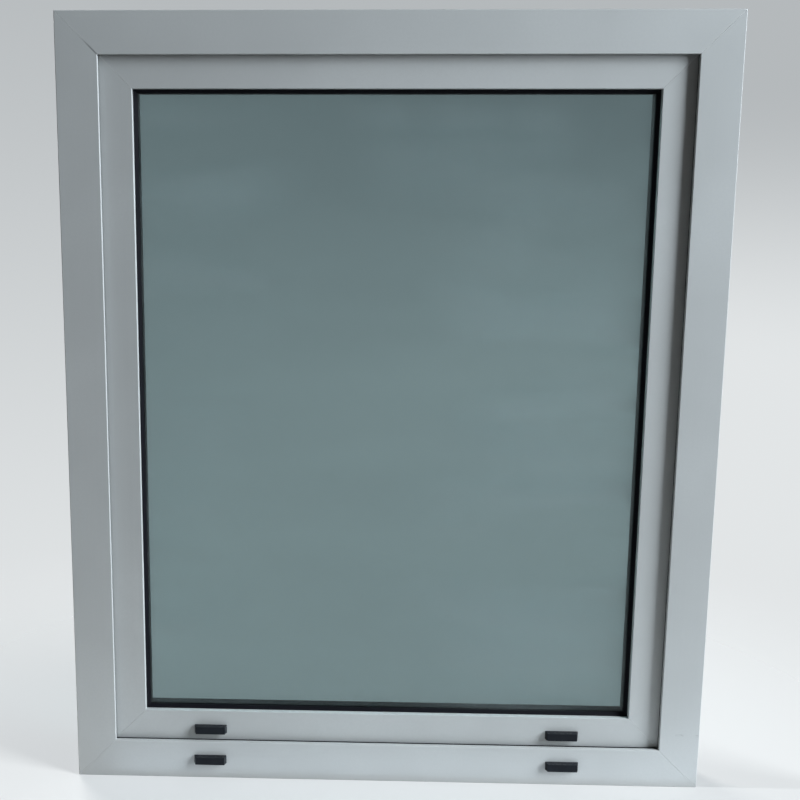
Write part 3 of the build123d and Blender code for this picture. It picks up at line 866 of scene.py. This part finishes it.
@dataclass
class Handle(SubAssembly):
    """The lever handle on the room side: a rosette with a round collar, and a smoothly bent grip."""

    rosette_corner: float = 14.5 * MM
    rosette_rim: float = 2.4 * MM
    collar_radius: float = 13.0 * MM
    collar_length: float = 3.2 * MM
    collar_rim: float = 0.8 * MM
    grip_corner: float = 4.4 * MM
    grip_bend: float = 16.0 * MM
    grip_crease: float = 60.0
    tip_round: float = 3.4 * MM
    corner_steps: int = 14
    rim_steps: int = 6
    collar_sides: int = 64
    collar_rim_steps: int = 4
    grip_corner_steps: int = 7
    bend_steps: int = 16
    fall_steps: int = 4

    def rosette(self, palette: Palette) -> bpy.types.Object:
        """Model the base on the sash, rounded in plan and along its front rim.

        Args:
            palette: The window's finishes.

        Returns:
            The rosette, with its collar.
        """
        low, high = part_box("handle_base")
        top = high.y
        high = high - Vector((0, self.collar_length, 0))
        shape = bmesh.new()
        place = Matrix.Translation((low + high) / 2) @ Matrix.Diagonal((*(high - low), 1.0))
        bmesh.ops.create_cube(shape, size=1.0, matrix=place)
        round_edges(shape, edges_along(shape, Vector((0, 1, 0))), self.rosette_corner, self.corner_steps)
        round_edges(shape, self.edges_at(shape.edges, high.y), self.rosette_rim, self.rim_steps)
        middle = Vector(((low.x + high.x) / 2, high.y + self.collar_length / 2, (low.z + high.z) / 2))
        ring = bmesh.ops.create_cone(
            shape,
            cap_ends=True,
            segments=self.collar_sides,
            radius1=self.collar_radius,
            radius2=self.collar_radius - self.collar_rim / 2,
            depth=self.collar_length,
            matrix=Matrix.Translation(middle) @ INTO_ROOM,
        )
        collar = {edge for vert in ring["verts"] for edge in vert.link_edges}
        round_edges(shape, self.edges_at(collar, top), self.collar_rim, self.collar_rim_steps)
        piece = add_piece("handle_rosette", shape, palette.handle)
        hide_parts("handle_base")
        return piece

    def edges_at(self, edges: Iterable[bmesh.types.BMEdge], depth: float) -> list[bmesh.types.BMEdge]:
        """The edges that lie wholly at one depth."""
        return [edge for edge in edges if all(abs(vert.co.y - depth) < NEAR for vert in edge.verts)]

    def grip(self, palette: Palette) -> bpy.types.Object:
        """Model the lever: out of the rosette, round the bend and down to a rounded tip.

        Args:
            palette: The window's finishes.

        Returns:
            The grip.
        """
        low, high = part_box("handle_lever")
        middle_x = (low.x + high.x) / 2
        base_low, base_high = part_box("handle_base")
        base_front = base_high.y
        neck_height = (base_low.z + base_high.z) / 2
        depth = 2.0 * (high.z - neck_height)
        shape = bmesh.new()
        place = Matrix.Translation((middle_x, base_front, neck_height)) @ INTO_ROOM
        section = bmesh.ops.create_grid(shape, x_segments=1, y_segments=1, size=0.5, matrix=place)["verts"]
        sides = Vector((high.x - low.x, 1.0, depth))
        about = Matrix.Translation((-middle_x, 0, -neck_height))
        bmesh.ops.scale(shape, vec=sides, verts=section, space=about)
        bmesh.ops.bevel(
            shape,
            geom=section,
            offset=self.grip_corner,
            affect="VERTICES",
            segments=self.grip_corner_steps,
            profile=0.5,
            material=-1,
        )
        straight = high.y - depth / 2 - self.grip_bend - base_front
        self.draw_out(shape, Vector((0, straight, 0)))
        centre = Vector((middle_x, base_front + straight, neck_height - self.grip_bend))
        end = self.end_face(shape, Vector((0, 1, 0)))
        bmesh.ops.spin(
            shape,
            geom=[end, *end.edges, *end.verts],
            cent=centre,
            axis=Vector((-1, 0, 0)),
            angle=QUARTER_TURN,
            steps=self.bend_steps,
            use_merge=False,
        )
        fall = Vector((0, 0, low.z - (neck_height - self.grip_bend)))
        for _ in range(self.fall_steps):
            self.draw_out(shape, fall / self.fall_steps)
        tip = self.end_face(shape, Vector((0, 0, -1)))
        round_edges(shape, list(tip.edges), self.tip_round, self.rim_steps)
        piece = add_piece("handle_grip", shape, palette.handle, sharp=self.grip_crease)
        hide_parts("handle_lever")
        return piece

    def end_face(self, shape: bmesh.types.BMesh, towards: Vector) -> bmesh.types.BMFace:
        """The face of a bar in the making that looks one way and lies furthest that way."""
        flat = [face for face in shape.faces if abs(face.normal.dot(towards)) > ALIGNED]
        return max(flat, key=lambda face: face.calc_center_median().dot(towards))

    def draw_out(self, shape: bmesh.types.BMesh, way: Vector) -> None:
        """Extrude the end face of a bar in the making.

        Args:
            shape: The bar.
            way: How far the end moves, and which way.
        """
        end = self.end_face(shape, way.normalized())
        made = bmesh.ops.extrude_face_region(shape, geom=[end])["geom"]
        bmesh.ops.translate(shape, vec=way, verts=[g for g in made if isinstance(g, bmesh.types.BMVert)])
        if end.is_valid and len(shape.faces) > 1:
            bmesh.ops.delete(shape, geom=[end], context="FACES_ONLY")
        shape.normal_update()

    def build(self, frame: dict, palette: Palette) -> list[str]:
        """Model the rosette and the grip in place of the plain handle; see SubAssembly."""
        return [self.rosette(palette).name, self.grip(palette).name]


@dataclass
class Hinges(SubAssembly):
    """The two hinges on the room side, with the screws that hold their leaves."""

    edge: float = 0.4 * MM
    screw_radius: float = 3.7 * MM
    screw_height: float = 1.3 * MM
    screw_taper: float = 0.86
    screw_sides: int = 24
    socket_sides: int = 6
    socket_width: float = 1.9 * MM
    socket_depth: float = 0.9 * MM
    from_edge: float = 7.0 * MM
    from_end: float = 12.0 * MM
    leaf: float = 4.0 * MM

    def screw(self, shape: bmesh.types.BMesh, seat: Vector) -> None:
        """Add one tapered screw head with a six-sided socket, looking into the room.

        Args:
            shape: The screws so far.
            seat: The middle of the head's underside, on a leaf.
        """
        top_radius = self.screw_taper * self.screw_radius
        head = bmesh.ops.create_cone(
            shape,
            cap_ends=True,
            segments=self.screw_sides,
            radius1=self.screw_radius,
            radius2=top_radius,
            depth=self.screw_height,
            matrix=Matrix.Translation(seat + Vector((0, self.screw_height / 2, 0))) @ INTO_ROOM,
        )["verts"]
        faces = {face for vert in head for face in vert.link_faces}
        top = max(faces, key=lambda face: face.calc_center_median().y)
        rim = top_radius - self.socket_width
        bmesh.ops.inset_region(shape, faces=[top], thickness=rim, use_even_offset=True)
        wedge = math.tau / self.socket_sides
        for vert in top.verts:
            arm = vert.co - seat
            turned = math.atan2(arm.z, arm.x) % wedge - wedge / 2
            reach = self.socket_width * math.cos(wedge / 2) / math.cos(turned)
            flat = Vector((arm.x, 0, arm.z)).normalized() * reach
            vert.co = Vector((seat.x + flat.x, vert.co.y, seat.z + flat.z))
        made = bmesh.ops.extrude_face_region(shape, geom=[top])["geom"]
        floor = [g for g in made if isinstance(g, bmesh.types.BMVert)]
        bmesh.ops.translate(shape, vec=Vector((0, -self.socket_depth, 0)), verts=floor)
        bmesh.ops.delete(shape, geom=[top], context="FACES_ONLY")

    def screws(self, hinge: str, palette: Palette) -> bpy.types.Object:
        """Model the four screws of one hinge, two on each leaf.

        Args:
            hinge: The hinge's name.
            palette: The window's finishes.

        Returns:
            The screws, as one piece.
        """
        shape = bmesh.new()
        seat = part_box("sash_left_stile_inner")[1].y + self.leaf
        low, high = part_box(f"{hinge}_sash_leaf")
        for height in (low.z + self.from_end, high.z - self.from_end):
            self.screw(shape, Vector((high.x - self.from_edge, seat, height)))
        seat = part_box("frame_left_jamb_inner")[1].y + self.leaf
        low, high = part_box(f"{hinge}_frame_leaf")
        for height in (low.z + self.from_end, high.z - self.from_end):
            self.screw(shape, Vector((low.x + self.from_edge, seat, height)))
        return add_piece(f"{hinge}_screws", shape, palette.pin)

    def build(self, frame: dict, palette: Palette) -> list[str]:
        """Dress the leaves and pins and add the screws; see SubAssembly."""
        done = []
        for hinge in ("hinge_lower", "hinge_upper"):
            for leaf in ("frame_leaf", "sash_leaf"):
                soften_edges(frame, f"{hinge}_{leaf}", self.edge)
                done.append(dress(frame, f"{hinge}_{leaf}", palette.hinge_coat))
            soften_edges(frame, f"{hinge}_pin", self.edge)
            done.append(dress(frame, f"{hinge}_pin", palette.pin))
            done.append(self.screws(hinge, palette).name)
        return done


@dataclass(frozen=True)
class Lamp:
    """A soft rectangular lamp, aimed at a point."""

    name: str
    place: Point
    aim: Point
    size: Span
    power: float
    colour: Colour
    mirrored: bool = True

    def build(self) -> None:
        """Hang the lamp in the scene, where neither the camera nor the glass shows it."""
        data = bpy.data.lights.new(self.name, "AREA")
        data.shape = "RECTANGLE"
        data.size, data.size_y = self.size
        data.energy = self.power
        data.color = self.colour
        lamp = bpy.data.objects.new(self.name, data)
        lamp.location = self.place
        lamp.rotation_mode = "QUATERNION"
        lamp.rotation_quaternion = (Vector(self.aim) - Vector(self.place)).to_track_quat("-Z", "Y")
        lamp.visible_camera = False
        lamp.visible_transmission = False
        lamp.visible_glossy = self.mirrored
        bpy.context.scene.collection.objects.link(lamp)


@dataclass(frozen=True)
class Net:
    """A thin grey cloth beside the window that keeps the key off its right-hand edge."""

    width: float = 0.20
    height: float = 1.15
    setback: float = 1.5 * MM
    open_share: float = 0.55

    def build(self) -> None:
        """Hang the cloth just behind the plane of the frame's front, where only lamplight meets it."""
        low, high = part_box("frame_right_jamb_outer")
        middle_x = high.x + self.setback + self.width / 2
        place = Matrix.Translation((middle_x, low.y + self.setback, self.height / 2))
        upright = Matrix.Rotation(QUARTER_TURN, 4, "X")
        sides = Matrix.Diagonal((self.width / 2, self.height / 2, 1.0, 1.0))
        shape = bmesh.new()
        bmesh.ops.create_grid(shape, x_segments=1, y_segments=1, size=1.0, matrix=place @ upright @ sides)
        mesh = bpy.data.meshes.new("net")
        shape.to_mesh(mesh)
        shape.free()
        tree = ShaderTree("net_cloth")
        grey = (self.open_share, self.open_share, self.open_share, 1.0)
        mesh.materials.append(tree.finish(tree.node("ShaderNodeBsdfTransparent", {"Color": grey}).outputs[0]))
        cloth = bpy.data.objects.new("net", mesh)
        cloth.visible_camera = False
        cloth.visible_diffuse = False
        cloth.visible_glossy = False
        cloth.visible_transmission = False
        bpy.context.scene.collection.objects.link(cloth)


@dataclass
class Studio:
    """The plain pale floor, the pale surroundings and the soft daylight from the upper right."""

    floor_radius: float = 1.5
    floor_sides: int = 128
    floor_drop: float = 0.2 * MM
    floor_fade: Span = (0.36, 1.1)
    floor_colour: Colour = (0.80, 0.76, 0.72)
    floor_roughness: float = 0.85
    floor_look: Colour = (0.71, 0.765, 0.81)
    floor_calm: float = 0.6
    fill: Colour = (0.965, 0.93, 0.876)
    fill_strength: float = 0.045
    gloss: Colour = (0.13, 0.135, 0.14)
    # Painted shade on the backdrop: it darkens upwards, and sooner towards the right.
    low_sky: Colour = (0.76, 0.785, 0.795)
    high_sky: Colour = (0.46, 0.485, 0.50)
    sky_rise: Span = (-0.26, 0.16)
    sky_turn: Span = (-0.25, 0.35)
    sky_slant: Span = (0.5, 1.6)
    # Painted shade: the floor and the backdrop are dimmed where they are seen through the glass.
    shade_behind_glass: float = 0.85
    lamps: tuple[Lamp, ...] = (
        Lamp("key", (3.1, -1.26, 1.95), (0.1, 0.0, 0.5), (1.2, 2.8), 259.0, (0.921, 1.0, 1.054)),
        Lamp(
            "floor_card",
            place=(0.5, -0.045, 0.003),
            aim=(0.5, -0.045, 1.0),
            size=(1.7, 0.05),
            power=0.21,
            colour=(0.84, 0.98, 1.12),
            mirrored=False,
        ),
        Lamp(
            "corner_card",
            place=(0.64, -0.16, 0.003),
            aim=(0.64, -0.16, 1.0),
            size=(0.5, 0.14),
            power=0.18,
            colour=(0.86, 0.98, 1.11),
            mirrored=False,
        ),
        Lamp("rear", (-1.9, 2.7, 2.3), (0.0, 0.0, 0.5), (1.6, 1.6), 140.0, (0.985, 1.0, 1.0)),
    )
    net: Net = Net()

    def floor(self) -> None:
        """A disc that fades into the surroundings at its rim."""
        shape = bmesh.new()
        bmesh.ops.create_circle(shape, cap_ends=True, segments=self.floor_sides, radius=self.floor_radius)
        mesh = bpy.data.meshes.new("floor")
        shape.to_mesh(mesh)
        shape.free()
        disc = bpy.data.objects.new("floor", mesh)
        disc.location.z = -self.floor_drop
        tree = ShaderTree("floor_paper")
        reach = tree.node("ShaderNodeVectorMath", {0: tree.place}, operation="LENGTH").outputs["Value"]
        path = tree.node("ShaderNodeLightPath", {}).outputs
        open_share = tree.maths("MAXIMUM", tree.spread(reach, self.floor_fade), path["Is Glossy Ray"])
        paper = tree.surface({"Base Color": (*self.floor_colour, 1.0), "Roughness": self.floor_roughness})
        seen = tree.maths("MAXIMUM", path["Is Camera Ray"], path["Is Transmission Ray"])
        # Painted shade on the floor where it is seen through the glass.
        strength = tree.spread(path["Is Transmission Ray"], RISING, (1.0, self.shade_behind_glass))
        glow = {"Color": (*self.floor_look, 1.0), "Strength": strength}
        look = tree.node("ShaderNodeEmission", glow).outputs[0]
        calm = tree.maths("MULTIPLY", seen, self.floor_calm)
        calmed = tree.node("ShaderNodeMixShader", {0: calm, 1: paper, 2: look}).outputs[0]
        clear = tree.node("ShaderNodeBsdfTransparent", {}).outputs[0]
        shader = tree.node("ShaderNodeMixShader", {0: open_share, 1: calmed, 2: clear}).outputs[0]
        mesh.materials.append(tree.finish(shader))
        bpy.context.scene.collection.objects.link(disc)

    def surroundings(self) -> None:
        """A dim even fill that the camera, glass and metal see as a pale backdrop, with painted shade that
        darkens it upwards, towards the right and behind the glass.
        """
        tree = ShaderTree("surroundings", world=True)
        # Painted shade: the backdrop goes from the low colour to the high one upwards, and rises sooner towards
        # the right.
        turned = dict(enumerate((tree.x, *self.sky_turn, *self.sky_slant)))
        slant = tree.node("ShaderNodeMapRange", turned).outputs[0]
        rise = tree.spread(tree.maths("MULTIPLY", tree.z, slant), self.sky_rise)
        sky = tree.blend(rise, self.low_sky, self.high_sky)
        sights = {
            "Is Glossy Ray": {"Color": (*self.gloss, 1.0), "Strength": 1.0},
            "Is Transmission Ray": {"Color": sky, "Strength": self.shade_behind_glass},
            "Is Camera Ray": {"Color": sky, "Strength": 1.0},
        }
        path = tree.node("ShaderNodeLightPath", {}).outputs
        fill = {"Color": (*self.fill, 1.0), "Strength": self.fill_strength}
        shader = tree.node("ShaderNodeBackground", fill).outputs[0]
        for ray, sight in sights.items():
            seen = tree.node("ShaderNodeBackground", sight).outputs[0]
            shader = tree.node("ShaderNodeMixShader", {0: path[ray], 1: shader, 2: seen}).outputs[0]
        bpy.context.scene.world = tree.finish(shader)

    def build(self) -> None:
        """Lay the floor, surround it, and hang the net and the lamps."""
        self.floor()
        self.surroundings()
        self.net.build()
        for lamp in self.lamps:
            lamp.build()
        bpy.context.scene.view_settings.view_transform = "Standard"


@dataclass(frozen=True)
class PhotoCamera:
    """The photograph's view: a little left of the middle, above it, and looking slightly down."""

    place: Point = (-0.0636, -1.2101, 0.7579)
    turn: Triple = (81.29, -0.187, 1.761)
    focal_px: float = 1000.0
    axis_px: Span = (309.3, 343.9)
    sensor_mm: float = 36.0

    def build(self) -> None:
        """Set the camera up and make it the scene's own."""
        data = bpy.data.cameras.new("photo_camera")
        data.sensor_width = self.sensor_mm
        data.lens = data.sensor_width * self.focal_px / PICTURE_SIDE
        data.shift_x = 0.5 - self.axis_px[0] / PICTURE_SIDE
        data.shift_y = self.axis_px[1] / PICTURE_SIDE - 0.5
        camera = bpy.data.objects.new("photo_camera", data)
        camera.location = self.place
        camera.rotation_euler = [math.radians(angle) for angle in self.turn]
        bpy.context.scene.collection.objects.link(camera)
        bpy.context.scene.camera = camera


def mitre_lines() -> MitreLines:
    """Place the corner joints of the window by the boxes of its frame.

    Returns:
        The joints.
    """
    low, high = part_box("frame_sill_outer")
    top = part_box("frame_head_outer")[1].z
    return MitreLines((high.x - low.x) / 2, (top - low.z) / 2, high.z - low.z, high.y)


def main() -> None:
    """Build the window's looks, the studio and the camera, and report each piece."""
    logging.basicConfig(level=logging.INFO, format="%(name)s: %(message)s")
    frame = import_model()
    palette = Palette.for_window(mitre_lines())
    for group in (OuterFrame(), Sash(), Glazing(), DrainCaps(), Handle(), Hinges()):
        for piece in group.build(frame, palette):
            log.info("%s: %s", type(group).__name__, piece)
    Studio().build()
    PhotoCamera().build()


if __name__ == "__main__":
    main()
